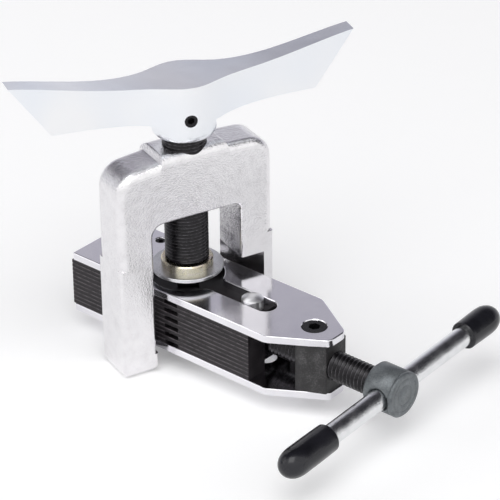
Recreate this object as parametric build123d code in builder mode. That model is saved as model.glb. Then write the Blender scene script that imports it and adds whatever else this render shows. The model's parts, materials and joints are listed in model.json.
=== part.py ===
from build123d import *
import os
from math import sin, cos, tan, radians, sqrt

# Turn-lock flaring tool, millimetres, +Z up.
# Origin: where the axis of the clamped tube crosses the top face of the bar.
# +X runs along the bar to its tapered nose and the clamp screw.

# ---- bar -------------------------------------------------------------
bar_half_w = 19.4        # half width of the clamp bar
plate_t = 3.5            # top and bottom plate thickness
leaf_n = 11              # layers of leaves between the plates
leaf_t = 2.0             # leaf thickness
leaf_gap = 0.035         # sliding gap between neighbouring leaves
leaf_pitch = leaf_t + leaf_gap
stack_h = leaf_n * leaf_pitch + leaf_gap
bar_h = 2 * plate_t + stack_h
bar_far_x = -50.3        # square end of the plates
taper_x = 59.7           # where the nose taper starts
nose_x = 83.4            # front of the nose
nose_half = 5.2          # half width of the nose front
eye_r = 16.2             # round opening in both plates, clear of the cone's flange
slot_half = 4.82         # half width of the guide slot
slot_end_x = 49.0        # round end of the guide slot
nose_screw_x = 70.8
fixed_pin_x, fixed_pin_y, fixed_pin_r = -27.7, 13.4, 2.36

# ---- jaw leaves ------------------------------------------------------
leaf_half_w = 19.2
vee_apex = 6.74          # apex of each V notch from the tube axis
vee_reach = 3.4          # how far the V horns reach past the tube axis
short_end = 11.0         # end of the short leaves from the tube axis
fixed_far_x = -51.0
jaw_rear_x = 50.6
recess_x = 43.5          # bottom of the rear recess of the moving jaw
recess_half = 8.4
guide_pin_x, guide_pin_r = 36.9, 4.75

# ---- clamp screw (1/2-13) -------------------------------------------
clamp_z = -bar_h / 2
clamp_crest_r = 6.35
clamp_pitch = 25.4 / 13
clamp_thread_x0 = 49.6
head_x0, head_x1, head_r = 103.5, 118.7, 10.0
tbar_x = 111.9
tbar_tilt = 2.6
tbar_shift = 0.85
tbar_r = 4.5
tbar_half = 66.35
cap_over = 5.0           # how far each cap's dome reaches past the rod's end
near_cap = (28.55, 6.4)   # length and radius of the vinyl cap on the -Y end
far_cap = (22.7, 6.4)

# ---- yoke ------------------------------------------------------------
yoke_turn = 20.0         # the yoke stands turned this far on the bar
yoke_half_d = 10.2       # half depth along the yoke's own X
yoke_in = 21.3           # half width of the opening
yoke_out = 37.2          # half width outside
yoke_open_z = 32.9       # top of the opening
yoke_left_z, yoke_mid_z, yoke_right_z = 58.7, 62.8, 60.7   # the top falls to both shoulders
pad_top_z = 63.9
pad_half = 16.2          # half width of the raised pad at its foot
leg_step_z = 15.0        # where the milled lower legs begin
leg_bottom_z = -38.9
notch_top_z = 5.8
hook_z = -bar_h - 0.04   # top face of the hooks under the bar
hook_in = 20.3
notch_deep = 32.4        # notch wall at its open face

# ---- feed screw (3/4-16), cone and handle ---------------------------
feed_crest_r = 9.525
feed_pitch = 25.4 / 16
flange_top_z, flange_t, flange_r = 5.05, 1.7, 15.8
ring_top_z, ring_r = 8.5, 11.3
cone_tip_z, cone_tip_r = -3.3, 1.5
hub_bottom_z, hub_top_z, hub_r = 68.5, 95.0, 13.85
handle_turn = 61.8       # direction of the handle's long axis from +X
shank_r = 8.0
set_screw_angle, set_screw_z, set_screw_r = -34.5, 79.8, 2.8

os.makedirs("parts", exist_ok=True)


def save(builder, name):
    builder.part.label = name
    export_step(builder.part, "parts/" + name + ".step")


def thread_profile(start, end, crest, pitch, depth):
    """Crest and root points of V grooves between two stations."""
    n = int((end - start) / pitch)
    first = start + ((end - start) - n * pitch) / 2
    pts = []
    for k in range(n):
        a = first + k * pitch
        pts += [(a + 0.06 * pitch, crest), (a + 0.47 * pitch, crest - depth),
                (a + 0.53 * pitch, crest - depth), (a + 0.94 * pitch, crest)]
    return pts


# ======================================================================
# plates
# ======================================================================
outline = [(bar_far_x, -bar_half_w), (taper_x, -bar_half_w), (nose_x, -nose_half),
           (nose_x, nose_half), (taper_x, bar_half_w), (bar_far_x, bar_half_w)]


with BuildSketch() as plate_shape:
    with BuildLine():
        Polyline(*outline, close=True)
    make_face()
    fillet([v for v in vertices() if v.X > nose_x - 0.1], 4.0)
    fillet([v for v in vertices() if abs(v.X - taper_x) < 0.1], 7.0)
    fillet([v for v in vertices() if v.X < bar_far_x + 0.1], 0.8)
    Circle(eye_r, mode=Mode.SUBTRACT)
    slot_c = slot_end_x - slot_half
    with Locations((slot_c / 2, 0)):
        Rectangle(slot_c, 2 * slot_half, mode=Mode.SUBTRACT)
    with Locations((slot_c, 0)):
        Circle(slot_half, mode=Mode.SUBTRACT)
    fillet([v for v in vertices() if abs(abs(v.Y) - slot_half) < 0.01 and 10 < v.X < 20], 3.0)
    with Locations((fixed_pin_x, fixed_pin_y), (fixed_pin_x, -fixed_pin_y)):
        Circle(fixed_pin_r + 0.015, mode=Mode.SUBTRACT)


with BuildPart() as top_plate:
    with BuildSketch(Plane.XY.offset(-plate_t)):
        add(plate_shape.sketch)
    extrude(amount=plate_t)
    fillet(top_plate.faces().sort_by(Axis.Z)[-1].edges(), 0.5)
    fillet(top_plate.faces().sort_by(Axis.Z)[0].outer_wire().edges(), 0.35)
    with Locations(Plane(origin=(nose_screw_x, 0, 0))):
        CounterSinkHole(radius=3.05, counter_sink_radius=5.7, depth=plate_t)
save(top_plate, "top_plate")

with BuildPart() as bottom_plate:
    with BuildSketch(Plane.XY.offset(-bar_h)):
        add(plate_shape.sketch)
    extrude(amount=plate_t)
    fillet(bottom_plate.faces().sort_by(Axis.Z)[0].edges(), 0.5)
    fillet(bottom_plate.faces().sort_by(Axis.Z)[-1].outer_wire().edges(), 0.35)
    with Locations(Plane(origin=(nose_screw_x, 0, -bar_h), x_dir=(1, 0, 0), z_dir=(0, 0, -1))):
        CounterSinkHole(radius=3.05, counter_sink_radius=5.7, depth=plate_t)
save(bottom_plate, "bottom_plate")

# nut block between the plates at the nose
with BuildPart() as clamp_nut_block:
    with BuildSketch(Plane.XY.offset(-bar_h + plate_t)):
        with BuildLine():
            Polyline((69.0, -11.2), (72.5, -11.2), (82.5, -6.6), (82.5, 6.6),
                     (72.5, 11.2), (69.0, 11.2), close=True)
        make_face()
        fillet([v for v in vertices() if v.X > 82], 0.8)
        fillet([v for v in vertices() if v.X < 69.1], 1.0)
        fillet([v for v in vertices() if 72 < v.X < 73], 2.0)
    extrude(amount=stack_h)
    with Locations(Plane(origin=(60, 0, clamp_z), x_dir=(0, 1, 0), z_dir=(1, 0, 0))):
        Cylinder(clamp_crest_r + 0.05, 60, mode=Mode.SUBTRACT)
    with Locations((nose_screw_x, 0, clamp_z)):
        Cylinder(3.02, stack_h + 2, mode=Mode.SUBTRACT)
save(clamp_nut_block, "clamp_nut_block")

# two countersunk socket screws, one from each side of the nose
with BuildPart() as nose_screws:
    for side in (1, -1):
        face = 0 if side > 0 else -bar_h
        pl = Plane(origin=(nose_screw_x, 0, face), x_dir=(1, 0, 0), z_dir=(0, -1, 0))
        with BuildSketch(pl):
            with BuildLine():
                Polyline((0, -0.15 * side), (5.1, -0.15 * side), (5.28, -0.35 * side),
                         (3.0, -3.0 * side), (3.0, -7.6 * side), (2.6, -8.0 * side),
                         (0, -8.0 * side), close=True)
            make_face()
        revolve(axis=Axis(origin=(nose_screw_x, 0, 0), direction=(0, 0, 1)))
        with BuildSketch(Plane(origin=(nose_screw_x, 0, face), x_dir=(1, 0, 0), z_dir=(0, 0, side))):
            RegularPolygon(2.3, 6, major_radius=False)
        extrude(amount=-2.6, mode=Mode.SUBTRACT)
save(nose_screws, "nose_screws")

# two dowels holding the fixed leaves between the plates
with BuildPart() as fixed_jaw_pins:
    for side in (1, -1):
        with BuildSketch(Plane.XY.offset(-bar_h + 0.5)):
            with Locations((fixed_pin_x, side * fixed_pin_y)):
                Circle(fixed_pin_r)
                Circle(1.1, mode=Mode.SUBTRACT)
        extrude(amount=bar_h - 1.0)
    fillet(fixed_jaw_pins.edges().filter_by(GeomType.CIRCLE).filter_by(
        lambda e: e.radius > 2), 0.3)
save(fixed_jaw_pins, "fixed_jaw_pins")

# ======================================================================
# interleaved leaves, layer 1 on top
# ======================================================================
for i in range(leaf_n):
    z_low = -plate_t - leaf_gap - i * leaf_pitch - leaf_t
    fixed_long = i % 2 == 0

    with BuildPart() as fixed_leaf:
        with BuildSketch(Plane.XY.offset(z_low)):
            with BuildLine():
                if fixed_long:
                    y_v = vee_reach + vee_apex
                    Polyline((fixed_far_x, -leaf_half_w), (vee_reach, -leaf_half_w),
                             (vee_reach, -y_v), (-vee_apex, 0), (vee_reach, y_v),
                             (vee_reach, leaf_half_w), (fixed_far_x, leaf_half_w), close=True)
                else:
                    Polyline((fixed_far_x, -leaf_half_w), (-short_end, -leaf_half_w),
                             (-short_end, leaf_half_w), (fixed_far_x, leaf_half_w), close=True)
            make_face()
            with Locations((fixed_pin_x, fixed_pin_y), (fixed_pin_x, -fixed_pin_y)):
                Circle(fixed_pin_r + 0.015, mode=Mode.SUBTRACT)
        extrude(amount=leaf_t)
        chamfer(fixed_leaf.edges().filter_by(Axis.X), 0.22)
        chamfer(fixed_leaf.edges().filter_by(Axis.Y).filter_by(
            lambda e: e.center().X < fixed_far_x + 0.1), 0.22)
    save(fixed_leaf, "fixed_leaf_%d" % (i + 1))

    with BuildPart() as moving_leaf:
        with BuildSketch(Plane.XY.offset(z_low)):
            with BuildLine():
                rear = [(jaw_rear_x, leaf_half_w), (jaw_rear_x, recess_half),
                        (recess_x, recess_half), (recess_x, -recess_half),
                        (jaw_rear_x, -recess_half), (jaw_rear_x, -leaf_half_w)]
                if not fixed_long:
                    y_v = vee_reach + vee_apex
                    Polyline((-vee_reach, -leaf_half_w), (-vee_reach, -y_v), (vee_apex, 0),
                             (-vee_reach, y_v), (-vee_reach, leaf_half_w), *rear, close=True)
                else:
                    Polyline((short_end, -leaf_half_w), (short_end, leaf_half_w),
                             *rear, close=True)
            make_face()
            with Locations((guide_pin_x, 0)):
                Circle(guide_pin_r + 0.02, mode=Mode.SUBTRACT)
        extrude(amount=leaf_t)
        chamfer(moving_leaf.edges().filter_by(Axis.X).filter_by(
            lambda e: abs(e.center().Y) > leaf_half_w - 0.1), 0.22)
    save(moving_leaf, "moving_leaf_%d" % (i + 1))

# guide pin of the moving jaw, domed at both ends
with BuildPart() as jaw_guide_pin:
    with BuildSketch(Plane.XZ):
        with BuildLine():
            z1, z0, dome = 0.9, -bar_h - 0.9, 1.25
            gx, gr = guide_pin_x, guide_pin_r
            Polyline((gx, z0 - dome), (gx, z1 + dome), (gx + 0.8, z1 + dome))
            ThreePointArc((gx + 0.8, z1 + dome), (gx + 0.68 * gr, z1 + 0.62 * dome), (gx + gr, z1))
            Line((gx + gr, z1), (gx + gr, z0))
            ThreePointArc((gx + gr, z0), (gx + 0.68 * gr, z0 - 0.62 * dome), (gx + 0.8, z0 - dome))
            Line((gx + 0.8, z0 - dome), (gx, z0 - dome))
        make_face()
    revolve(axis=Axis(origin=(guide_pin_x, 0, 0), direction=(0, 0, 1)))
save(jaw_guide_pin, "jaw_guide_pin")

# thrust block that couples the screw to the moving jaw
with BuildPart() as screw_thrust_block:
    with BuildSketch(Plane(origin=(recess_x + 0.02, 0, clamp_z), x_dir=(0, 1, 0), z_dir=(1, 0, 0))):
        RectangleRounded(2 * recess_half - 0.04, 14.0, 1.0)
    extrude(amount=6.0)
    with BuildSketch(Plane(origin=(recess_x - 0.5, 0, clamp_z), x_dir=(0, 1, 0), z_dir=(1, 0, 0))):
        Circle(5.05)
    extrude(amount=3.0, mode=Mode.SUBTRACT)
    with BuildSketch(Plane(origin=(recess_x - 0.5, 0, clamp_z), x_dir=(0, 1, 0), z_dir=(1, 0, 0))):
        Circle(3.6)
    extrude(amount=9.0, mode=Mode.SUBTRACT)
save(screw_thrust_block, "screw_thrust_block")

# ======================================================================
# clamp screw and its sliding T-bar
# ======================================================================
with BuildPart() as clamp_screw:
    pl = Plane(origin=(0, 0, clamp_z), x_dir=(1, 0, 0), z_dir=(0, -1, 0))
    with BuildSketch(pl):
        with BuildLine():
            thr = thread_profile(clamp_thread_x0 + 1.0, head_x0 - 0.6, clamp_crest_r,
                                 clamp_pitch, 1.05)
            Polyline((recess_x + 0.1, 0), (recess_x + 0.1, 4.6), (recess_x + 0.5, 5.0),
                     (recess_x + 2.4, 5.0), (recess_x + 2.4, 3.55), (clamp_thread_x0, 3.55),
                     (clamp_thread_x0, clamp_crest_r - 0.9), (clamp_thread_x0 + 0.9, clamp_crest_r),
                     *thr,
                     (head_x0, clamp_crest_r), (head_x0, head_r - 1.4), (head_x0 + 1.4, head_r),
                     (head_x1 - 2.4, head_r), (head_x1 - 2.2, head_r - 0.35),
                     (head_x1 - 1.7, head_r - 0.35), (head_x1 - 1.5, head_r),
                     (head_x1 - 0.6, head_r), (head_x1, head_r - 0.6),
                     (head_x1, 7.6), (head_x1 - 0.2, 7.4), (head_x1, 7.2),
                     (head_x1, 4.6), (head_x1 - 0.2, 4.4), (head_x1, 4.2),
                     (head_x1, 0), close=True)
        make_face()
    revolve(axis=Axis(origin=(0, 0, clamp_z), direction=(1, 0, 0)))
    t = radians(tbar_tilt)
    tdir = (0, cos(t), sin(t))
    with Locations(Plane(origin=(tbar_x, 0, clamp_z), x_dir=(1, 0, 0), z_dir=tdir)):
        Cylinder(tbar_r + 0.05, 40, mode=Mode.SUBTRACT)
    for side in (1, -1):
        with Locations(Plane(origin=(tbar_x, side * 9.0 * cos(t), clamp_z + side * 9.0 * sin(t)),
                             x_dir=(1, 0, 0), z_dir=(0, side * cos(t), side * sin(t)))):
            Cone(tbar_r + 0.05, tbar_r + 1.25, 2.6, align=(Align.CENTER, Align.CENTER, Align.CENTER),
                 mode=Mode.SUBTRACT)
save(clamp_screw, "clamp_screw")

t = radians(tbar_tilt)
tdir = Vector(0, cos(t), sin(t))
tcen = Vector(tbar_x, 0, clamp_z) + tdir * tbar_shift

with BuildPart() as tbar_rod:
    with BuildSketch(Plane(origin=tcen - tdir * tbar_half, x_dir=(1, 0, 0), z_dir=tdir)):
        Circle(tbar_r)
    extrude(amount=2 * tbar_half)
    chamfer(tbar_rod.edges().filter_by(GeomType.CIRCLE), 0.5)
save(tbar_rod, "tbar_rod")


def tbar_cap(side, name, size):
    """Dipped vinyl cap: closed dome at the end, slightly flared mouth."""
    cap_len, r = size
    out = tdir * side
    start = tcen + out * (tbar_half + cap_over - cap_len)
    pl = Plane(origin=start, x_dir=out, z_dir=out.cross(Vector(1, 0, 0)))
    with BuildPart() as cap:
        with BuildSketch(pl):
            with BuildLine():
                Polyline((0, tbar_r + 0.015), (0, r - 0.6), (0.5, r - 0.2), (2.0, r - 0.15))
                Spline((2.0, r - 0.15), (8.0, r - 0.05), (cap_len - 10.5, r), (cap_len - 6.0, r - 0.25),
                       (cap_len - 2.5, 0.74 * r), (cap_len - 0.55, 0.4 * r), (cap_len, 0),
                       tangents=((1, 0), (0, -1)))
                Polyline((cap_len, 0), (cap_len - cap_over + 0.05, 0), (cap_len - cap_over + 0.05, tbar_r + 0.015),
                         (0, tbar_r + 0.015))
            make_face()
        revolve(axis=Axis(origin=start, direction=out))
    save(cap, name)


tbar_cap(-1, "tbar_cap_near", near_cap)
tbar_cap(1, "tbar_cap_far", far_cap)

# ======================================================================
# yoke: one forging, turned on the bar
# ======================================================================
f = radians(yoke_turn)
yx = (cos(f), -sin(f), 0)      # the yoke's own X, through its depth
yy = (sin(f), cos(f), 0)       # the yoke's own Y, across its legs
yoke_front = Plane(origin=(0, 0, 0), x_dir=yy, z_dir=yx)


def yoke_level(z):
    return Plane(origin=(0, 0, z), x_dir=yx, z_dir=(0, 0, 1))


with BuildPart() as yoke_legs:
    for side in (1, -1):
        with BuildSketch(yoke_level(leg_bottom_z)):
            with Locations((0, side * (hook_in + yoke_out) / 2)):
                RectangleRounded(2 * yoke_half_d, yoke_out - hook_in, 1.2)
        extrude(amount=hook_z - leg_bottom_z)
        with BuildSketch(yoke_level(hook_z)):
            with Locations((0, side * (yoke_in + yoke_out) / 2)):
                RectangleRounded(2 * yoke_half_d, yoke_out - yoke_in, 1.2)
        extrude(amount=leg_step_z - hook_z)
    # rounded feet, seen from the side and from the front
    with BuildSketch(Plane(origin=(0, 0, 0), x_dir=yx, z_dir=(-yy[0], -yy[1], 0))):
        with BuildLine():
            Polyline((-yoke_half_d, leg_step_z), (-yoke_half_d, leg_bottom_z),
                     (yoke_half_d, leg_bottom_z), (yoke_half_d, leg_step_z), close=True)
        make_face()
        fillet([v for v in vertices() if v.Y < leg_bottom_z + 0.1], 4.5)
    extrude(amount=60, both=True, mode=Mode.INTERSECT)
    with BuildSketch(yoke_front):
        for side in (1, -1):
            with BuildLine():
                Polyline((side * hook_in, leg_step_z), (side * hook_in, leg_bottom_z),
                         (side * yoke_out, leg_bottom_z), (side * yoke_out, leg_step_z), close=True)
            make_face()
        fillet([v for v in vertices() if v.Y < leg_bottom_z + 0.1 and abs(v.X) > yoke_out - 0.1], 4.2)
        fillet([v for v in vertices() if v.Y < leg_bottom_z + 0.1 and abs(v.X) < hook_in + 0.1], 6.5)
    extrude(amount=20, both=True, mode=Mode.INTERSECT)

# raised pad round the screw: steep sides, rounded front and back
with BuildPart() as yoke_pad:
    with BuildSketch(yoke_front):
        with BuildLine():
            Polyline((pad_half, 50), (pad_half, 60.9), (pad_half - 1.5, pad_top_z),
                     (-pad_half + 1.5, pad_top_z), (-pad_half, 60.9), (-pad_half, 50), close=True)
        make_face()
        fillet([v for v in vertices() if v.Y > pad_top_z - 0.1], 1.1)
    extrude(amount=yoke_half_d, both=True)
    with BuildSketch(Plane(origin=(0, 0, 0), x_dir=yx, z_dir=(-yy[0], -yy[1], 0))):
        with BuildLine():
            Polyline((-yoke_half_d, 50), (-yoke_half_d, pad_top_z), (yoke_half_d, pad_top_z),
                     (yoke_half_d, 50), close=True)
        make_face()
        fillet([v for v in vertices() if v.Y > pad_top_z - 0.1], 4.4)
    extrude(amount=40, both=True, mode=Mode.INTERSECT)

with BuildPart() as yoke:
    with BuildSketch(yoke_front):
        with BuildLine():
            Polyline((yoke_in, leg_step_z), (yoke_out, leg_step_z), (yoke_out, yoke_right_z),
                     (0, yoke_mid_z), (-yoke_out, yoke_left_z), (-yoke_out, leg_step_z),
                     (-yoke_in, leg_step_z), (-yoke_in, yoke_open_z), (yoke_in, yoke_open_z),
                     close=True)
        make_face()
        fillet([v for v in vertices() if v.Y > yoke_open_z + 5 and v.X > yoke_out - 0.1], 9.75)
        fillet([v for v in vertices() if v.Y > yoke_open_z + 5 and v.X < -yoke_out + 0.1], 10.8)
        fillet([v for v in vertices() if v.Y > yoke_mid_z - 0.1], 60.0)
        fillet([v for v in vertices() if abs(v.Y - yoke_open_z) < 0.1 and v.X < 0], 5.5)
        fillet([v for v in vertices() if abs(v.Y - yoke_open_z) < 0.1 and v.X > yoke_in - 0.1], 3.2)
    extrude(amount=yoke_half_d, both=True)
    rim = [e for e in yoke.edges()
           if abs(abs(e.center().X * yx[0] + e.center().Y * yx[1]) - yoke_half_d) < 0.01
           and e.center().Z > leg_step_z + 0.1]
    outer = [e for e in rim if abs(e.center().X * yy[0] + e.center().Y * yy[1]) > yoke_in + 1
             or e.center().Z > yoke_open_z + 8]
    fillet(outer, 3.9)
    rim2 = [e for e in yoke.edges()
            if abs(abs(e.center().X * yx[0] + e.center().Y * yx[1]) - yoke_half_d) < 0.01
            and e.center().Z > leg_step_z + 0.1
            and abs(e.center().X * yy[0] + e.center().Y * yy[1]) < yoke_in + 0.1
            and e.center().Z < yoke_open_z + 0.1]
    fillet(rim2, 1.3)
    add(yoke_pad.part)
    add(yoke_legs.part)
    # slanted notches, open in front on the right leg and behind on the left
    for side in (1, -1):
        with BuildSketch(yoke_level(hook_z)):
            with BuildLine():
                Polyline((-side * yoke_half_d, side * yoke_in),
                         (side * yoke_half_d, side * notch_deep),
                         (side * (yoke_half_d + 2), side * (notch_deep + 1)),
                         (side * (yoke_half_d + 2), side * 12.0),
                         (-side * (yoke_half_d + 2), side * 12.0),
                         (-side * (yoke_half_d + 2), side * (yoke_in - 1.0)),
                         close=True)
            make_face()
        extrude(amount=notch_top_z - hook_z, mode=Mode.SUBTRACT)
    # bore for the feed screw
    with Locations((0, 0, 50)):
        Cylinder(feed_crest_r + 0.05, 60, mode=Mode.SUBTRACT)
save(yoke, "yoke")

# ======================================================================
# cone assembly, feed screw and handle
# ======================================================================
flange_low = flange_top_z - flange_t
cone_base_r = cone_tip_r + (flange_low - cone_tip_z)

with BuildPart() as flaring_cone:
    with BuildSketch(Plane.XZ):
        with BuildLine():
            Polyline((0, cone_tip_z), (cone_tip_r, cone_tip_z), (cone_base_r, flange_low),
                     (6.0, flange_low), (6.0, flange_top_z), (4.95, flange_top_z),
                     (4.95, 15.0), (4.45, 15.5), (0, 15.5), close=True)
        make_face()
    revolve(axis=Axis.Z)
save(flaring_cone, "flaring_cone")

with BuildPart() as cone_flange:
    with BuildSketch(Plane.XY.offset(flange_low)):
        Circle(flange_r)
        Circle(6.02, mode=Mode.SUBTRACT)
    extrude(amount=flange_t)
    fillet(cone_flange.edges().filter_by(GeomType.CIRCLE).filter_by(
        lambda e: e.radius > 15), 0.4)
save(cone_flange, "cone_flange")

with BuildPart() as cone_retainer_ring:
    with BuildSketch(Plane.XZ):
        with BuildLine():
            Polyline((9.6, flange_top_z), (ring_r, flange_top_z), (ring_r, ring_top_z - 0.5),
                     (ring_r - 0.5, ring_top_z), (8.4, ring_top_z), (8.4, 7.25), (9.6, 7.25),
                     close=True)
        make_face()
    revolve(axis=Axis.Z)
save(cone_retainer_ring, "cone_retainer_ring")

with BuildPart() as feed_screw:
    with BuildSketch(Plane.XZ):
        with BuildLine():
            thr = thread_profile(9.6, 67.4, feed_crest_r, feed_pitch, 0.88)
            Polyline((0, 16.2), (5.02, 16.2), (5.02, 5.12), (9.5, 5.12), (9.5, 7.15),
                     (8.3, 7.15), (8.3, 8.6), (8.75, 8.6), (feed_crest_r, 9.4),
                     *[(r, z) for z, r in thr],
                     (feed_crest_r, 67.7), (8.9, hub_bottom_z), (shank_r, hub_bottom_z),
                     (shank_r, 89.5), (shank_r - 0.5, 90.0), (0, 90.0), close=True)
        make_face()
    revolve(axis=Axis.Z)
save(feed_screw, "feed_screw")

h = radians(handle_turn)
hx = (cos(h), sin(h), 0)
hy = (-sin(h), cos(h), 0)
handle_side = Plane(origin=(0, 0, 0), x_dir=hx, z_dir=(sin(h), -cos(h), 0))
handle_plan = Plane(origin=(0, 0, 60), x_dir=hx, z_dir=(0, 0, 1))

with BuildPart() as handle:
    with BuildSketch(handle_side):
        with BuildLine():
            Spline((-76.4, 104.2), (-60, 101.2), (-45, 98.1), (-32, 96.1), (-20, 95.2), (0, hub_top_z),
                   (20, 95.2), (32, 96.1), (45, 98.1), (60, 101.2), (75.6, 104.1))
            Polyline((75.6, 104.1), (58.2, 79.8))
            Spline((58.2, 79.8), (45, 79.7), (32, 79.3), (22, 78.5), (13, 77.2))
            Polyline((13, 77.2), (-13, 77.2))
            Spline((-13, 77.2), (-22, 78.5), (-32, 79.3), (-45, 79.7), (-59.0, 79.8))
            Polyline((-59.0, 79.8), (-76.4, 104.2))
        make_face()
    extrude(amount=20, both=True)
    with BuildSketch(handle_plan):
        with BuildLine():
            Spline((-80, 3.9), (-60, 4.3), (-45, 4.8), (-33, 5.5), (-24, 6.6), (-17, 8.2),
                   (-11, 10.6), (-5.5, 12.9), (0, hub_r - 0.02))
            Spline((0, hub_r - 0.02), (5.5, 12.9), (11, 10.6), (17, 8.2), (24, 6.6), (33, 5.5),
                   (45, 4.8), (60, 4.3), (80, 3.9))
            Polyline((80, 3.9), (80, -3.9))
            Spline((80, -3.9), (60, -4.3), (45, -4.8), (33, -5.5), (24, -6.6), (17, -8.2),
                   (11, -10.6), (5.5, -12.9), (0, -hub_r + 0.02))
            Spline((0, -hub_r + 0.02), (-5.5, -12.9), (-11, -10.6), (-17, -8.2), (-24, -6.6),
                   (-33, -5.5), (-45, -4.8), (-60, -4.3), (-80, -3.9))
            Polyline((-80, -3.9), (-80, 3.9))
        make_face()
    extrude(amount=60, mode=Mode.INTERSECT)
    with BuildSketch(Plane.XZ):
        with BuildLine():
            Polyline((0, 94.6), (13.2, 94.6), (hub_r, 93.6), (hub_r, 72.4))
            ThreePointArc((hub_r, 72.4), (12.95, 69.7), (10.9, hub_bottom_z))
            Polyline((10.9, hub_bottom_z), (0, hub_bottom_z), (0, 94.6))
        make_face()
    revolve(axis=Axis.Z)
    with BuildSketch(Plane.XY.offset(hub_bottom_z)):
        Circle(shank_r + 0.02)
    extrude(amount=90.3 - hub_bottom_z, mode=Mode.SUBTRACT)
    a = radians(set_screw_angle)
    with Locations(Plane(origin=(12 * cos(a), 12 * sin(a), set_screw_z), x_dir=(0, 0, 1),
                         z_dir=(cos(a), sin(a), 0))):
        Cylinder(set_screw_r + 0.02, 10, mode=Mode.SUBTRACT)
save(handle, "handle")

with BuildPart() as handle_set_screw:
    a = radians(set_screw_angle)
    pl = Plane(origin=(shank_r * cos(a) + 0.1 * cos(a), (shank_r + 0.1) * sin(a), set_screw_z),
               x_dir=(0, 0, 1), z_dir=(cos(a), sin(a), 0))
    with BuildSketch(pl):
        Circle(set_screw_r)
    extrude(amount=5.3)
    with BuildSketch(pl.offset(5.3)):
        RegularPolygon(1.4, 6, major_radius=False)
    extrude(amount=-2.5, mode=Mode.SUBTRACT)
save(handle_set_screw, "handle_set_screw")
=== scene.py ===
import bpy
import bmesh
import json
from math import sin, cos, tan, radians, pi, sqrt
from mathutils import Vector, Matrix


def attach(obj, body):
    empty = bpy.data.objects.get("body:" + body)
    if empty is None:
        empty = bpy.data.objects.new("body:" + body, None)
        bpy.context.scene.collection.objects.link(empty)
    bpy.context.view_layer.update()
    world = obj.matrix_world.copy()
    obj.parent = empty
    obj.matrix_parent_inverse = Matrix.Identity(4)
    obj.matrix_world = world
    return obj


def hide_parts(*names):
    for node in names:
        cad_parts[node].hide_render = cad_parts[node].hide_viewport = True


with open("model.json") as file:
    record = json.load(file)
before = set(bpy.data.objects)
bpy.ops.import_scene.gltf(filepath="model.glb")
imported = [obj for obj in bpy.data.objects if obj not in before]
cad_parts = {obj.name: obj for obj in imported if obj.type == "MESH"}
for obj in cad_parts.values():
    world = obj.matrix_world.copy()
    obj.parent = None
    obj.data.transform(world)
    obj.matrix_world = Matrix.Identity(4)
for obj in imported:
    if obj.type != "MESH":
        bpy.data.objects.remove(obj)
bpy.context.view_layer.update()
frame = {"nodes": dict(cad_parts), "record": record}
nodes = frame["nodes"]
scene = bpy.context.scene
scene.view_settings.view_transform = "Standard"
scene.view_settings.look = "None"

MM = 0.001
BAR_H = 29.42           # height of the clamp bar
CLAMP_Z = -BAR_H / 2    # axis height of the clamp screw
YOKE_TURN = radians(20.0)
FLOOR_Z = -38.9 * MM    # the yoke's feet stand here


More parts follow.
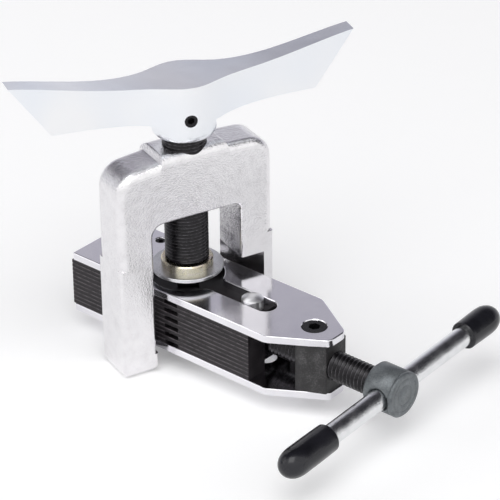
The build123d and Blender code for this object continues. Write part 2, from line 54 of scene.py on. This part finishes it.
# ======================================================================
# node helpers
# ======================================================================
class Tree:
    """A material or world node tree, with short calls for the nodes used below."""

    def __init__(self, tree):
        self.t = tree
        tree.nodes.clear()

    def add(self, kind, **props):
        n = self.t.nodes.new(kind)
        for k, v in props.items():
            setattr(n, k, v)
        return n

    def link(self, a, b):
        self.t.links.new(a, b)
        return b

    def put(self, socket, value):
        if isinstance(value, (int, float)):
            socket.default_value = value
        elif isinstance(value, (tuple, list)):
            if len(value) == 3 and socket.type == "RGBA":
                value = (*value, 1.0)
            socket.default_value = value
        else:
            self.t.links.new(value, socket)

    def coords(self, scale=(1, 1, 1), turn=(0, 0, 0), shift=(0, 0, 0)):
        c = self.add("ShaderNodeTexCoord")
        m = self.add("ShaderNodeMapping")
        m.inputs["Location"].default_value = shift
        m.inputs["Rotation"].default_value = turn
        m.inputs["Scale"].default_value = scale
        self.link(c.outputs["Object"], m.inputs["Vector"])
        return m.outputs["Vector"]

    def noise(self, vector, scale, detail=2.0, rough=0.5, distortion=0.0):
        n = self.add("ShaderNodeTexNoise")
        self.link(vector, n.inputs["Vector"])
        n.inputs["Scale"].default_value = scale
        n.inputs["Detail"].default_value = detail
        n.inputs["Roughness"].default_value = rough
        n.inputs["Distortion"].default_value = distortion
        return n.outputs["Fac"]

    def voronoi(self, vector, scale, feature="F1", smooth=None):
        n = self.add("ShaderNodeTexVoronoi", feature=feature)
        self.link(vector, n.inputs["Vector"])
        n.inputs["Scale"].default_value = scale
        return n.outputs["Distance"]

    def math(self, op, a, b=0.0, c=0.0):
        n = self.add("ShaderNodeMath", operation=op)
        for s, v in zip(n.inputs, (a, b, c)):
            self.put(s, v)
        return n.outputs[0]

    def span(self, value, lo, hi, to_lo, to_hi, smooth=False):
        n = self.add("ShaderNodeMapRange", clamp=True)
        if smooth:
            n.interpolation_type = "SMOOTHSTEP"
        self.put(n.inputs["Value"], value)
        for k, v in (("From Min", lo), ("From Max", hi), ("To Min", to_lo), ("To Max", to_hi)):
            n.inputs[k].default_value = v
        return n.outputs["Result"]

    def ramp(self, value, stops, interp="LINEAR"):
        n = self.add("ShaderNodeValToRGB")
        self.link(value, n.inputs["Fac"])
        r = n.color_ramp
        r.interpolation = interp
        while len(r.elements) > 1:
            r.elements.remove(r.elements[-1])
        r.elements[0].position = stops[0][0]
        r.elements[0].color = (*stops[0][1], 1.0)
        for p, c in stops[1:]:
            e = r.elements.new(p)
            e.color = (*c, 1.0)
        return n.outputs["Color"]

    def mix(self, fac, a, b):
        n = self.add("ShaderNodeMix", data_type="RGBA")
        self.put(n.inputs[0], fac)
        self.put(n.inputs[6], a)
        self.put(n.inputs[7], b)
        return n.outputs[2]

    def bump(self, height, strength, distance, normal=None):
        n = self.add("ShaderNodeBump")
        n.inputs["Strength"].default_value = strength
        n.inputs["Distance"].default_value = distance
        self.link(height, n.inputs["Height"])
        if normal is not None:
            self.link(normal, n.inputs["Normal"])
        return n.outputs["Normal"]

    def xyz(self, vector):
        n = self.add("ShaderNodeSeparateXYZ")
        self.link(vector, n.inputs[0])
        return n.outputs

    def radius(self, vector, a, b):
        s = self.xyz(vector)
        return self.math("SQRT", self.math("ADD", self.math("MULTIPLY", s[a], s[a]),
                                           self.math("MULTIPLY", s[b], s[b])))


def material(name):
    m = bpy.data.materials.new(name)
    m.use_nodes = True
    t = Tree(m.node_tree)
    out = t.add("ShaderNodeOutputMaterial")
    b = t.add("ShaderNodeBsdfPrincipled")
    t.link(b.outputs[0], out.inputs["Surface"])
    return m, t, b


def slanted(t):
    """1 on faces that slope between upright and level, such as chamfers and roundings; used as the mask for a painted
    edge highlight.
    """
    g = t.add("ShaderNodeNewGeometry")
    z = t.math("ABSOLUTE", t.xyz(g.outputs["Normal"])[2])
    return t.math("MULTIPLY", t.span(z, 0.15, 0.45, 0.0, 1.0, smooth=True),
                  t.span(z, 0.80, 0.97, 1.0, 0.0, smooth=True))


# ======================================================================
# materials
# ======================================================================
def chrome_forging():
    """Chrome over a grained drop forging."""
    m, t, b = material("yoke_chrome")
    v = t.coords()
    grain = t.noise(v, 1500, 3.0, 0.62)
    pits = t.voronoi(v, 1100)
    mottle = t.noise(v, 260, 3.0, 0.55)
    broad = t.noise(v, 60, 2.0, 0.5)
    z = t.xyz(v)[2]
    milled = t.span(z, 0.0125, 0.0155, 0.0, 1.0, smooth=True)
    base = t.ramp(t.math("ADD", t.math("MULTIPLY", mottle, 0.55), t.math("MULTIPLY", grain, 0.45)),
                  [(0.30, (0.70, 0.685, 0.70)), (0.50, (0.80, 0.79, 0.805)), (0.70, (0.86, 0.85, 0.86))])
    b.inputs["Metallic"].default_value = 1.0
    t.link(base, b.inputs["Base Color"])
    t.link(t.span(mottle, 0.3, 0.7, 0.17, 0.27), b.inputs["Roughness"])
    fine = t.math("ADD", t.math("MULTIPLY", grain, 0.7), t.math("MULTIPLY", pits, 0.5))
    amount = t.math("MULTIPLY", fine, t.math("ADD", t.math("MULTIPLY", milled, 0.55), 0.45))
    n1 = t.bump(broad, 0.12, 0.0012)
    n2 = t.bump(amount, 0.70, 0.00022, n1)
    t.link(n2, b.inputs["Normal"])
    return m


def polished_forging():
    """Polished bright forging with faint waviness."""
    m, t, b = material("handle_chrome")
    v = t.coords()
    broad = t.noise(v, 38, 2.0, 0.45)
    fine = t.noise(v, 900, 2.0, 0.5)
    tint = t.noise(v, 24, 1.0, 0.5)
    t.link(t.ramp(tint, [(0.35, (0.80, 0.83, 0.875)), (0.65, (0.87, 0.875, 0.885))]), b.inputs["Base Color"])
    b.inputs["Metallic"].default_value = 1.0
    t.link(t.span(fine, 0.3, 0.7, 0.20, 0.27), b.inputs["Roughness"])
    n1 = t.bump(broad, 0.30, 0.0012)
    n2 = t.bump(fine, 0.10, 0.00006, n1)
    t.link(n2, b.inputs["Normal"])
    return m


def plate_steel():
    """Ground and bright plated flat steel."""
    m, t, b = material("plate_steel")
    v = t.coords(scale=(60, 1500, 400))
    lines = t.noise(v, 1.0, 3.0, 0.6)
    u = t.coords()
    cloud = t.noise(u, 70, 3.0, 0.55)
    speck = t.noise(u, 2200, 2.0, 0.6)
    t.link(t.ramp(cloud, [(0.3, (0.76, 0.75, 0.79)), (0.7, (0.83, 0.82, 0.85))]), b.inputs["Base Color"])
    b.inputs["Metallic"].default_value = 1.0
    t.link(t.span(cloud, 0.3, 0.7, 0.11, 0.17), b.inputs["Roughness"])
    n1 = t.bump(lines, 0.10, 0.00005)
    n2 = t.bump(speck, 0.12, 0.00004, n1)
    t.link(n2, b.inputs["Normal"])
    return m


def leaf_black():
    """Blanked and black-oxidised leaves, with a painted highlight: a lighter colour on their chamfered edges."""
    m, t, b = material("leaf_black")
    u = t.coords()
    streak = t.noise(t.coords(scale=(90, 90, 1600)), 1.0, 3.0, 0.6)
    cloud = t.noise(u, 120, 3.0, 0.6)
    # painted highlight: the sloped chamfer faces get a lighter colour, broken up by noise
    painted_highlight_mask = t.math("MULTIPLY", slanted(t), t.span(t.noise(u, 500, 2.0, 0.5), 0.35, 0.6, 0.35, 1.0))
    dark = t.ramp(cloud, [(0.3, (0.010, 0.0085, 0.010)), (0.7, (0.024, 0.021, 0.0235))])
    t.link(t.mix(t.math("MULTIPLY", painted_highlight_mask, 0.85), dark, (0.14, 0.125, 0.135)), b.inputs["Base Color"])
    b.inputs["Metallic"].default_value = 0.2
    b.inputs["Specular IOR Level"].default_value = 0.3
    t.link(t.span(cloud, 0.3, 0.7, 0.36, 0.50), b.inputs["Roughness"])
    n1 = t.bump(streak, 0.25, 0.00008)
    t.link(n1, b.inputs["Normal"])
    return m


def nut_black():
    """Black oxide over a rough sawn block."""
    m, t, b = material("nut_block_black")
    u = t.coords()
    grit = t.noise(u, 1500, 4.0, 0.68)
    cloud = t.noise(u, 170, 3.0, 0.6)
    dark = t.ramp(t.math("ADD", t.math("MULTIPLY", grit, 0.55), t.math("MULTIPLY", cloud, 0.45)),
                  [(0.34, (0.014, 0.0135, 0.014)), (0.52, (0.030, 0.029, 0.030)), (0.66, (0.085, 0.082, 0.085))])
    t.link(dark, b.inputs["Base Color"])
    b.inputs["Metallic"].default_value = 0.3
    t.link(t.span(grit, 0.3, 0.7, 0.40, 0.62), b.inputs["Roughness"])
    t.link(t.bump(grit, 0.55, 0.00016), b.inputs["Normal"])
    return m


def screw_black(name="screw_black", axis=2):
    """Oiled black oxide on cut threads, with a painted highlight on the thread crests."""
    m, t, b = material(name)
    u = t.coords(shift=(0, 0, 0) if axis == 2 else (0, 0, -CLAMP_Z * MM))
    r = t.radius(u, 0, 1) if axis == 2 else t.radius(u, 1, 2)
    crest = 9.525 * MM if axis == 2 else 6.35 * MM
    cloud = t.noise(u, 300, 3.0, 0.6)
    ring = t.noise(t.coords(scale=(40, 40, 2600) if axis == 2 else (2600, 40, 40)), 1.0, 2.0, 0.6)
    # painted highlight: lighter colour in a thin band at the crest radius, broken up by noise
    painted_highlight_mask = t.math("MULTIPLY", t.span(r, crest - 0.00010, crest - 0.00002, 0.0, 1.0),
                  t.span(r, crest + 0.00004, crest + 0.0001, 1.0, 0.0))
    painted_highlight_mask = t.math("MULTIPLY", painted_highlight_mask, t.span(t.noise(u, 700, 2.0, 0.5), 0.35, 0.65, 0.15, 0.8))
    dark = t.ramp(cloud, [(0.3, (0.008, 0.0075, 0.0085)), (0.7, (0.018, 0.0165, 0.019))])
    t.link(t.mix(painted_highlight_mask, dark, (0.11, 0.105, 0.115)), b.inputs["Base Color"])
    b.inputs["Metallic"].default_value = 0.6
    t.link(t.span(cloud, 0.3, 0.7, 0.22, 0.34), b.inputs["Roughness"])
    t.link(t.bump(ring, 0.22, 0.00005), b.inputs["Normal"])
    return m


def phosphate():
    """Turned and phosphated clamp screw head."""
    m, t, b = material("phosphate")
    u = t.coords(shift=(0, 0, -CLAMP_Z * MM))
    r = t.radius(u, 1, 2)
    wobble = t.noise(u, 500, 2.0, 0.5)
    grit = t.noise(u, 1900, 3.0, 0.65)
    cloud = t.noise(u, 220, 3.0, 0.6)
    face = t.math("SINE", t.math("MULTIPLY", t.math("ADD", r, t.math("MULTIPLY", wobble, 0.00008)), 2 * pi / 0.00052))
    side = t.math("SINE", t.math("MULTIPLY", t.xyz(u)[0], 2 * pi / 0.00045))
    g = t.add("ShaderNodeNewGeometry")
    nx = t.math("ABSOLUTE", t.xyz(g.outputs["True Normal"])[0])
    tool = t.mix(nx, side, face)
    body = t.ramp(t.math("ADD", t.math("MULTIPLY", grit, 0.5), t.math("MULTIPLY", cloud, 0.5)),
                  [(0.32, (0.075, 0.082, 0.088)), (0.5, (0.135, 0.148, 0.156)), (0.68, (0.21, 0.225, 0.235))])
    t.link(body, b.inputs["Base Color"])
    b.inputs["Metallic"].default_value = 0.55
    t.link(t.span(cloud, 0.3, 0.7, 0.36, 0.50), b.inputs["Roughness"])
    n1 = t.bump(tool, 0.16, 0.00005)
    n2 = t.bump(grit, 0.25, 0.00008, n1)
    t.link(n2, b.inputs["Normal"])
    return m


def zinc_rod():
    """Bright zinc on drawn bar, lightly pitted along its length."""
    m, t, b = material("zinc_rod")
    u = t.coords()
    pits = t.noise(t.coords(scale=(1, 0.45, 1)), 1500, 3.0, 0.66)
    cloud = t.noise(u, 240, 3.0, 0.6)
    t.link(t.ramp(cloud, [(0.3, (0.68, 0.69, 0.70)), (0.7, (0.82, 0.825, 0.83))]), b.inputs["Base Color"])
    b.inputs["Metallic"].default_value = 1.0
    t.link(t.span(cloud, 0.3, 0.7, 0.15, 0.26), b.inputs["Roughness"])
    t.link(t.bump(pits, 0.50, 0.00016), b.inputs["Normal"])
    return m


def vinyl():
    """Dipped black vinyl."""
    m, t, b = material("black_vinyl")
    u = t.coords()
    orange = t.noise(u, 420, 2.0, 0.5)
    cloud = t.noise(u, 90, 2.0, 0.5)
    t.link(t.ramp(cloud, [(0.3, (0.006, 0.006, 0.008)), (0.7, (0.013, 0.013, 0.017))]), b.inputs["Base Color"])
    t.link(t.span(cloud, 0.3, 0.7, 0.18, 0.28), b.inputs["Roughness"])
    b.inputs["Specular IOR Level"].default_value = 0.25
    b.inputs["Coat Weight"].default_value = 0.3
    b.inputs["Coat Roughness"].default_value = 0.04
    t.link(t.bump(orange, 0.16, 0.0002), b.inputs["Normal"])
    return m


def bright(name, lo, hi, r0, r1, scale=900, strength=0.2):
    m, t, b = material(name)
    u = t.coords()
    fine = t.noise(u, scale, 3.0, 0.6)
    cloud = t.noise(u, 180, 2.0, 0.5)
    t.link(t.ramp(cloud, [(0.3, lo), (0.7, hi)]), b.inputs["Base Color"])
    b.inputs["Metallic"].default_value = 1.0
    t.link(t.span(cloud, 0.3, 0.7, r0, r1), b.inputs["Roughness"])
    t.link(t.bump(fine, strength, 0.00008), b.inputs["Normal"])
    return m


def turned(name, lo, hi, r0, r1, pitch=0.0003, strength=0.15):
    """A lathe-turned face about the feed axis."""
    m, t, b = material(name)
    u = t.coords()
    r = t.radius(u, 0, 1)
    cloud = t.noise(u, 260, 3.0, 0.6)
    speck = t.noise(u, 1600, 3.0, 0.65)
    t.link(t.ramp(t.math("ADD", t.math("MULTIPLY", cloud, 0.5), t.math("MULTIPLY", speck, 0.5)),
                  [(0.35, lo), (0.62, hi)]), b.inputs["Base Color"])
    b.inputs["Metallic"].default_value = 1.0
    t.link(t.span(speck, 0.3, 0.7, r0, r1), b.inputs["Roughness"])
    lines = t.math("SINE", t.math("MULTIPLY", r, 2 * pi / pitch))
    n1 = t.bump(lines, strength, 0.00003)
    n2 = t.bump(speck, 0.25, 0.00010, n1)
    t.link(n2, b.inputs["Normal"])
    return m


def passivated():
    """Yellow-passivated ring whose colour drifts round it."""
    m, t, b = material("ring_gold")
    u = t.coords()
    cloud = t.noise(u, 150, 3.0, 0.6, 0.4)
    fine = t.noise(u, 1200, 2.0, 0.6)
    t.link(t.ramp(cloud, [(0.30, (0.56, 0.50, 0.50)), (0.45, (0.66, 0.59, 0.44)), (0.56, (0.60, 0.57, 0.45)),
                          (0.70, (0.62, 0.55, 0.54))]), b.inputs["Base Color"])
    b.inputs["Metallic"].default_value = 1.0
    t.link(t.span(fine, 0.3, 0.7, 0.20, 0.32), b.inputs["Roughness"])
    t.link(t.bump(fine, 0.2, 0.00006), b.inputs["Normal"])
    return m


MATS = {
    "yoke_chrome": chrome_forging(),
    "handle_chrome": polished_forging(),
    "plate_steel": plate_steel(),
    "leaf_black": leaf_black(),
    "nut_block_black": nut_black(),
    "screw_black": screw_black(),
    "phosphate": phosphate(),
    "zinc_rod": zinc_rod(),
    "black_vinyl": vinyl(),
    "bright_pin": bright("bright_pin", (0.72, 0.72, 0.73), (0.82, 0.82, 0.83), 0.32, 0.40),
    "flange_chrome": turned("flange_chrome", (0.58, 0.585, 0.60), (0.74, 0.745, 0.76), 0.26, 0.38),
    "cone_steel": turned("cone_steel", (0.50, 0.50, 0.52), (0.62, 0.62, 0.64), 0.20, 0.30),
    "ring_gold": passivated(),
}
thread_black_x = screw_black("clamp_thread_black", axis=0)

slot_of = {s["node"]: s["material_slot"] for s in frame["record"]["subparts"]}


def paint(obj, mat):
    obj.data.materials.clear()
    obj.data.materials.append(mat)


for name, obj in nodes.items():
    mat = MATS[slot_of[name]]
    if obj.material_slots:
        for s in obj.material_slots:
            s.material = mat
    else:
        obj.data.materials.append(mat)


# ======================================================================
# helical threads
# ======================================================================
def helix_rows(bm, start, end, crest, depth, pitch, cols=96):
    """Right-hand V thread along +Z, closed at both ends."""
    prof = [(0.06, crest), (0.47, crest - depth), (0.53, crest - depth), (0.94, crest)]
    k = len(prof)
    turns = int((end - start) / pitch) + 4
    z0 = start - 2 * pitch
    rows = []
    for j in range(turns * k):
        p, r = prof[j % k]
        row = []
        for i in range(cols):
            a = 2 * pi * i / cols
            z = z0 + (j // k + p + i / cols) * pitch
            row.append(bm.verts.new((r * cos(a), r * sin(a), z)))
        rows.append(row)
    for j in range(len(rows) - 1):
        for i in range(cols):
            if i < cols - 1:
                q = (rows[j][i], rows[j][i + 1], rows[j + 1][i + 1], rows[j + 1][i])
            else:
                if j + 1 + k >= len(rows):
                    continue
                q = (rows[j][i], rows[j + k][0], rows[j + k + 1][0], rows[j + 1][i])
            bm.faces.new(q)
    for z, sign in ((start, -1), (end, 1)):
        geom = bm.verts[:] + bm.edges[:] + bm.faces[:]
        bmesh.ops.bisect_plane(bm, geom=geom, dist=1e-7, plane_co=(0, 0, z), plane_no=(0, 0, sign),
                               clear_outer=True)
        rim = [e for e in bm.edges if e.is_boundary and all(abs(v.co.z - z) < 1e-6 for v in e.verts)]
        bmesh.ops.edgeloop_fill(bm, edges=rim)


def cut_copy(node, axis, keep):
    """A copy of a CAD node's mesh, kept only where it lies in the given ranges along an axis."""
    out = bmesh.new()
    for lo, hi in keep:
        part = bmesh.new()
        part.from_mesh(nodes[node].data)
        bmesh.ops.remove_doubles(part, verts=part.verts[:], dist=1e-7)
        for val, sign in ((lo, -1), (hi, 1)):
            co = [0, 0, 0]
            no = [0, 0, 0]
            co[axis] = val
            no[axis] = sign
            geom = part.verts[:] + part.edges[:] + part.faces[:]
            bmesh.ops.bisect_plane(part, geom=geom, dist=1e-7, plane_co=co, plane_no=no, clear_outer=True)
            rim = [e for e in part.edges if e.is_boundary and all(abs(v.co[axis] - val) < 2e-6 for v in e.verts)]
            if rim:
                bmesh.ops.edgeloop_fill(part, edges=rim)
        tmp = bpy.data.meshes.new("tmp")
        part.to_mesh(tmp)
        out.from_mesh(tmp)
        bpy.data.meshes.remove(tmp)
        part.free()
    return out


def finish_mesh(name, bm, mats, angle=32.0):
    bmesh.ops.recalc_face_normals(bm, faces=bm.faces[:])
    me = bpy.data.meshes.new(name)
    bm.to_mesh(me)
    bm.free()
    for p in me.polygons:
        p.use_smooth = True
    me.set_sharp_from_angle(angle=radians(angle))
    for m in mats:
        me.materials.append(m)
    o = bpy.data.objects.new(name, me)
    scene.collection.objects.link(o)
    return o


FEED_CREST, FEED_PITCH, FEED_DEPTH = 9.525 * MM, 25.4 / 16 * MM, 0.88 * MM
CLAMP_CREST, CLAMP_PITCH, CLAMP_DEPTH = 6.35 * MM, 25.4 / 13 * MM, 1.05 * MM

bm = cut_copy("feed_screw", 2, [(4.0 * MM, 9.45 * MM), (67.65 * MM, 91.0 * MM)])
helix_rows(bm, 9.4 * MM, 67.7 * MM, FEED_CREST, FEED_DEPTH, FEED_PITCH, cols=112)
feed = finish_mesh("feed_screw_threaded", bm, [MATS["screw_black"]])
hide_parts("feed_screw")
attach(feed, "feed_screw")

bm = cut_copy("clamp_screw", 0, [(43.0 * MM, 50.55 * MM), (102.9 * MM, 119.0 * MM)])
head_faces = len(bm.faces)
thread = bmesh.new()
helix_rows(thread, 0.0, (103.0 - 50.5) * MM, CLAMP_CREST, CLAMP_DEPTH, CLAMP_PITCH, cols=96)
bmesh.ops.transform(thread, verts=thread.verts[:],
                    matrix=Matrix.Translation((50.5 * MM, 0, CLAMP_Z * MM)) @ Matrix.Rotation(radians(90), 4, "Y"))
tmp = bpy.data.meshes.new("tmp")
thread.to_mesh(tmp)
thread.free()
bm.from_mesh(tmp)
bpy.data.meshes.remove(tmp)
bm.faces.ensure_lookup_table()
for f in bm.faces:
    f.material_index = 0 if f.calc_center_median().x > 103.2 * MM else 1
clamp = finish_mesh("clamp_screw_threaded", bm, [MATS["phosphate"], thread_black_x])
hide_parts("clamp_screw")
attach(clamp, "clamp_screw")

# ======================================================================
# floor, light and camera
# ======================================================================
floor_me = bpy.data.meshes.new("floor")
floor_bm = bmesh.new()
bmesh.ops.create_grid(floor_bm, x_segments=1, y_segments=1, size=12.0)
floor_bm.to_mesh(floor_me)
floor_bm.free()
floor = bpy.data.objects.new("floor", floor_me)
floor.location = (0, 0, FLOOR_Z)
scene.collection.objects.link(floor)
fm, ft, fb = material("floor_white")
fb.inputs["Base Color"].default_value = (0.94, 0.94, 0.94, 1)
fb.inputs["Roughness"].default_value = 0.9
fb.inputs["Specular IOR Level"].default_value = 0.1
fb.inputs["Emission Color"].default_value = (1.0, 1.0, 1.0, 1)
fb.inputs["Emission Strength"].default_value = 0.16
floor_me.materials.append(fm)

# World: a studio seen as bands of light. Its bands turn about the camera's
# right-hand axis, so the tool stands between a bright front and a grey back wall.
world = bpy.data.worlds.new("studio")
scene.world = world
world.use_nodes = True
w = Tree(world.node_tree)
w_out = w.add("ShaderNodeOutputWorld")
w_bg = w.add("ShaderNodeBackground")
w.link(w_bg.outputs[0], w_out.inputs["Surface"])
wc = w.add("ShaderNodeTexCoord")
s = w.xyz(wc.outputs["Generated"])
AZ = radians(40.666)
front = w.math("ADD", w.math("MULTIPLY", s[0], sin(AZ)), w.math("MULTIPLY", s[1], -cos(AZ)))
alpha = w.math("DIVIDE", w.math("ARCTAN2", s[2], front), pi)
bands = w.ramp(alpha, [
    (0.00, (1.00, 1.00, 1.00)),
    (0.20, (1.15, 1.15, 1.15)),
    (0.44, (1.15, 1.15, 1.16)),
    (0.49, (0.30, 0.29, 0.31)),
    (0.55, (0.03, 0.03, 0.035)),
    (0.74, (0.05, 0.048, 0.055)),
    (0.80, (0.36, 0.35, 0.40)),
    (0.84, (0.56, 0.55, 0.61)),
    (0.93, (0.85, 0.86, 0.92)),
    (1.00, (0.95, 0.95, 0.98)),
])
w.link(bands, w_bg.inputs["Color"])
w_bg.inputs["Strength"].default_value = 1.0


def area(name, loc, target, size, power, color=(1, 1, 1)):
    d = bpy.data.lights.new(name, "AREA")
    d.shape = "RECTANGLE"
    d.size, d.size_y = size
    d.energy = power
    d.color = color
    o = bpy.data.objects.new(name, d)
    o.location = loc
    o.rotation_euler = (Vector(target) - Vector(loc)).to_track_quat("-Z", "Y").to_euler()
    o.visible_camera = False
    scene.collection.objects.link(o)
    return o


area("key", (0.35, -0.55, 1.25), (0.02, 0, 0), (0.9, 0.9), 6)
area("fill", (-0.9, -0.75, 0.75), (0.0, 0, 0), (0.8, 0.8), 2)

cam_d = bpy.data.cameras.new("camera")
cam_d.sensor_fit = "HORIZONTAL"
cam_d.sensor_width = 36.0
cam_d.lens = 2631.5 / 500.0 * 36.0
cam_d.clip_start, cam_d.clip_end = 0.05, 60.0
cam = bpy.data.objects.new("camera", cam_d)
scene.collection.objects.link(cam)
scene.camera = cam
az, el, roll = radians(40.666), radians(29.846), radians(0.674)
right = Vector((cos(az), sin(az), 0))
back = Vector((sin(az) * cos(el), -cos(az) * cos(el), sin(el)))
up = back.cross(right)
r2 = right * cos(roll) - up * sin(roll)
u2 = right * sin(roll) + up * cos(roll)
tt = Vector((-27.898, -9.768, -1175.38)) * 0.97 * MM
place = -(r2 * tt.x + u2 * tt.y + back * tt.z)
cam.matrix_world = Matrix(((r2.x, u2.x, back.x, place.x), (r2.y, u2.y, back.y, place.y),
                           (r2.z, u2.z, back.z, place.z), (0, 0, 0, 1)))
